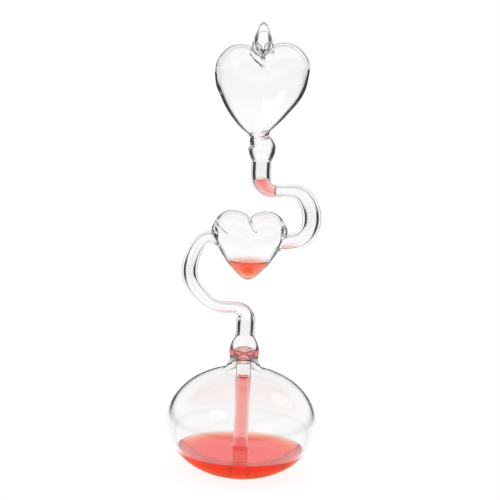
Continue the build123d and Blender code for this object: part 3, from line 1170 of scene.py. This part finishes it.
@dataclass
class TopHeart:
    """Large heart on the upper collar, with the sealed tip in its cleft."""

    form: HeartForm = field(default_factory=lambda: HeartForm(
        2.5, 18.65, 12.0, TOP_LEFT_LOWS, TOP_LEFT_HIGHS, TOP_RIGHT_LOWS, TOP_RIGHT_HIGHS, 0.03,
        (Crease((-2.8, 173.0), (4.2, 168.6), 0.4, 0.8),
         Crease((-2.2, 171.0), (5.2, 164.6), 0.4, 1.0))))
    wall: float = 0.85
    centre: tuple[float, float] = (2.4, 156.0)
    waist_z: float = 136.8
    waist_radius: float = 3.65
    waist_bore: float = 2.1
    neck_top_z: float = 140.2
    neck_bore_top_z: float = 142.8
    hole: float = 1.2
    hole_rise: float = 15.0
    crowding: float = 0.09
    neck_ease: float = 0.3
    below_waist: float = 3.0
    tip_x: float = 2.3
    tip_outside: Rows = ((4.7, 171.0), (4.3, 174.2), (3.3, 177.4), (2.5, 179.8), (1.75, 181.9),
                         (0.9, 183.1), (0.0, 183.5))
    tip_inside: Rows = ((1.2, 170.4), (1.7, 172.2), (2.3, 175.0), (1.75, 177.9), (0.9, 179.6),
                        (0.0, 180.0))

    def shell(self, inset: float, neck: float, neck_top: float) -> np.ndarray:
        """Rings of one skin, from the waist up to the tip's hole.

        Args:
            inset: How far the skin is moved inwards.
            neck: The waist's radius.
            neck_top: The height where the round neck ends inside the heart.

        Returns:
            The rings.
        """
        heart = self.form.filled(inset)

        def inside(x: np.ndarray, y: np.ndarray, z: np.ndarray) -> np.ndarray:
            """True inside the heart or its neck.

            Args:
                x: Places across.
                y: Places front to back.
                z: Heights.

            Returns:
                One answer for each point.
            """
            off = np.hypot(x - self.centre[0], y)
            return ((heart(x, y, z) & (z > self.waist_z))
                    | ((off < neck) & (z < neck_top) & (z > self.waist_z - self.below_waist)))

        first = math.atan2(neck, self.centre[1] - self.waist_z)
        last = math.pi - math.atan2(self.hole, self.hole_rise)
        steps = np.linspace(0, 1, 220)
        angles = first + (last - first) * (
            steps - self.crowding * np.sin(2 * math.pi * steps))
        rings = burst(inside, None, self.centre, True, angles, 216)
        near = np.exp(-((angles - angles[0]) / self.neck_ease) ** 4)
        return eased(rings, near, EASINGS)

    def tip(self, palette: Palette) -> None:
        """Draws off and seals the filling tube on the cleft.

        Args:
            palette: The finishes.
        """
        outside = Track(self.tip_outside, None, (-1, 0))
        inside = Track(self.tip_inside, (0, 1), (-1, 0))
        outer = outside.at(outside.evenly(0.2)[:-1])[0]
        inner = inside.at(inside.evenly(0.2)[:-1])[0]
        loop = np.concatenate([inner[::-1], outer])
        skin = Skin().wrap(turned(loop, self.tip_x, NARROW), first_pole=True, last_pole=True)
        fit(skin, "sealing_tip", Kind.GLASS, palette.glass)

    def build(self, palette: Palette) -> None:
        """Blows the heart and its tip.

        Args:
            palette: The finishes.
        """
        skin = Skin().wrap(self.shell(0, self.waist_radius, self.neck_top_z))
        skin.wrap(self.shell(self.wall, self.waist_bore, self.neck_bore_top_z), inward=True)
        fit(skin, "top_heart", Kind.GLASS, palette.glass)
        self.tip(palette)


# ---------------------------------------------------------------- studio
@dataclass
class Studio:
    """Pale floor and backdrop, soft light and the camera."""

    aim: tuple[float, float, float] = (0.0005, 0.0, 0.088)
    distance: float = 1.5
    elevation: float = 13.0
    lean: float = 2.4
    lens: float = 271.4
    shift: tuple[float, float] = (0.0012, 0.0172)
    floor_grey: float = 0.22
    floor_lift: float = 0.86
    table_edge: tuple[float, float] = (0.1, 0.24)
    room_grey: float = 0.05
    # Painted caustic: the red that the floor under the pool glows with, and where that painted
    # glow fades out.
    painted_caustic_colour: Colour = (1.0, 0.33, 0.17, 1.0)
    painted_caustic_edge: tuple[float, float] = (0.022, 0.034)
    soft_light: float = 0.62
    room_levels: Rows = ((0.0, 0.5), (0.15, 0.95), (0.45, 0.95), (0.6, 0.6), (1.0, 0.75))
    reach: float = 3.0
    sink: float = 0.00005
    bounces: int = 32
    mirror_bounces: int = 12

    @staticmethod
    def band(tree: Tree, value: Sock, edges: tuple[float, float]) -> Sock:
        """Fades a value smoothly.

        Args:
            tree: The nodes to add to.
            value: The distance or direction to fade by.
            edges: Where the fade starts at 1 and where it ends at 0.

        Returns:
            1 below the first edge, 0 beyond the second.
        """
        return tree.node("ShaderNodeMapRange", {"interpolation_type": "SMOOTHSTEP"}, {
            "Value": value, "From Min": edges[0], "From Max": edges[1],
            "To Min": 1.0, "To Max": 0.0})

    def world(self) -> None:
        """Puts up the white backdrop, the soft light and the greyer room that is mirrored."""
        world = bpy.data.worlds.new("studio")
        bpy.context.scene.world = world
        tree = Tree(world)
        rays = tree.node("ShaderNodeLightPath", out="Is Camera Ray")
        matt = Sock(tree, rays.socket.node.outputs["Is Diffuse Ray"])
        mirrored = Sock(tree, rays.socket.node.outputs["Glossy Depth"]).above(0.5)
        where = tree.node("ShaderNodeTexCoord", out="Generated")
        height = tree.node("ShaderNodeSeparateXYZ", {}, {0: where}, out="Z")
        ramp = tree.node("ShaderNodeValToRGB", {
            "stops": [(place, grey(level)) for place, level in self.room_levels]}, {0: height})
        soft, room, white = (
            tree.node("ShaderNodeBackground", {}, {"Color": colour, "Strength": strength})
            for colour, strength in ((WHITE, self.soft_light), (ramp, 1.0), (WHITE, 1.0)))
        backdrop = tree.mix(rays.larger((1 - mirrored) * (1 - matt)),
                            tree.mix(matt, room, soft), white)
        tree.node("ShaderNodeOutputWorld", {}, {"Surface": backdrop})

    def floor(self) -> None:
        """Lays a white sheet that keeps the object's shadow, a dark table beside it, and a painted
        red caustic under the pool.
        """
        mesh = bpy.data.meshes.new("floor")
        mesh.from_pydata([(x * self.reach, y * self.reach, 0)
                          for x, y in ((-1, -1), (1, -1), (1, 1), (-1, 1))], [], [(0, 1, 2, 3)])
        floor = bpy.data.objects.new("floor", mesh)
        floor.location.z = -self.sink
        bpy.context.scene.collection.objects.link(floor)
        paint = bpy.data.materials.new("floor_paint")
        tree = Tree(paint)
        rays = tree.node("ShaderNodeLightPath", out="Is Camera Ray")
        matt = Sock(tree, rays.socket.node.outputs["Is Diffuse Ray"])
        where = tree.node("ShaderNodeNewGeometry", out="Position")
        away = tree.node("ShaderNodeVectorMath", {"operation": "LENGTH"}, {0: where}, "Value")
        mirrored = Sock(tree, rays.socket.node.outputs["Glossy Depth"]).above(0.5)
        sheet = self.band(tree, away, self.table_edge).larger(1 - mirrored)
        paper = tree.node("ShaderNodeBsdfDiffuse", {}, {"Color": grey(self.floor_grey)})
        lift, unlit, table, painted_caustic_glow = (
            tree.node("ShaderNodeEmission", {}, {"Color": colour, "Strength": strength})
            for colour, strength in ((WHITE, self.floor_lift), (WHITE, 0.0),
                                     (grey(self.room_grey), 1.0), (self.painted_caustic_colour, 1.0)))
        # Painted caustic: the floor under the pool glows red to rays seen through or mirrored in
        # the glass, as if lit through the liquid.
        under = self.band(tree, away, self.painted_caustic_edge) * (1 - rays.larger(matt))
        lifted = tree.node("ShaderNodeAddShader", {}, {0: paper, 1: tree.mix(matt, lift, unlit)})
        laid = tree.mix(rays.larger(matt).larger(sheet), table, lifted)
        tree.node("ShaderNodeOutputMaterial", {}, {"Surface": tree.mix(under, laid, painted_caustic_glow)})
        mesh.materials.append(paint)

    def lamp(self, name: str, place: tuple[float, float, float], size: float,
             power: float) -> None:
        """Hangs one soft round lamp that faces the object.

        Args:
            name: The lamp's name.
            place: Where it hangs.
            size: Its width.
            power: Its watts.
        """
        light = bpy.data.lights.new(name, "AREA")
        light.shape = "DISK"
        light.size = size
        light.energy = power
        lamp = bpy.data.objects.new(name, light)
        lamp.location = place
        way = Vector(self.aim) - Vector(place)
        lamp.rotation_euler = way.to_track_quat("-Z", "Y").to_euler()
        bpy.context.scene.collection.objects.link(lamp)

    def camera(self) -> None:
        """Sets up the camera."""
        data = bpy.data.cameras.new("camera")
        data.lens = self.lens
        data.sensor_width = 36.0
        data.clip_start, data.clip_end = 0.05, 20.0
        data.shift_x, data.shift_y = self.shift
        camera = bpy.data.objects.new("camera", data)
        slope = math.radians(self.elevation)
        back = Vector((0, -math.cos(slope), math.sin(slope)))
        camera.location = Vector(self.aim) + back * self.distance
        turn = (-back).to_track_quat("-Z", "Y").to_matrix() @ Matrix.Rotation(
            math.radians(self.lean), 3, "Z")
        camera.rotation_euler = turn.to_euler()
        bpy.context.scene.collection.objects.link(camera)
        bpy.context.scene.camera = camera

    def build(self) -> None:
        """Makes the whole studio."""
        self.world()
        self.floor()
        self.lamp("key", place=(-0.7, -0.6, 0.9), size=0.6, power=0.8)
        self.lamp("fill", place=(0.8, 0.4, 0.9), size=0.6, power=0.6)
        self.camera()
        scene = bpy.context.scene
        scene.view_settings.view_transform = "Standard"
        scene.cycles.max_bounces = scene.cycles.transmission_bounces = self.bounces
        scene.cycles.glossy_bounces = self.mirror_bounces


def main() -> None:
    """Builds the model and the studio."""
    logging.basicConfig(level=logging.INFO)
    Studio().build()
    # The base bulb's glass is a greyer, warmer copy of the clear glass, painted shade that darkens
    # the bulb.
    palette = Palette(ClearGlass().material(), RedLiquid().material(),
                      RedLiquid("thin_red_liquid", dye=(1.0, 0.05, 0.0, 1.0),
                                strength=275.0).material(),
                      ClearGlass("shaded_bulb_glass", (0.975, 0.972, 0.966, 1.0)).material())
    for assembly in (BaseBulb(), LowerCollar(), Tubing(), MiddleHeart(), TopHeart()):
        assembly.build(palette)


if __name__ == "__main__":
    main()
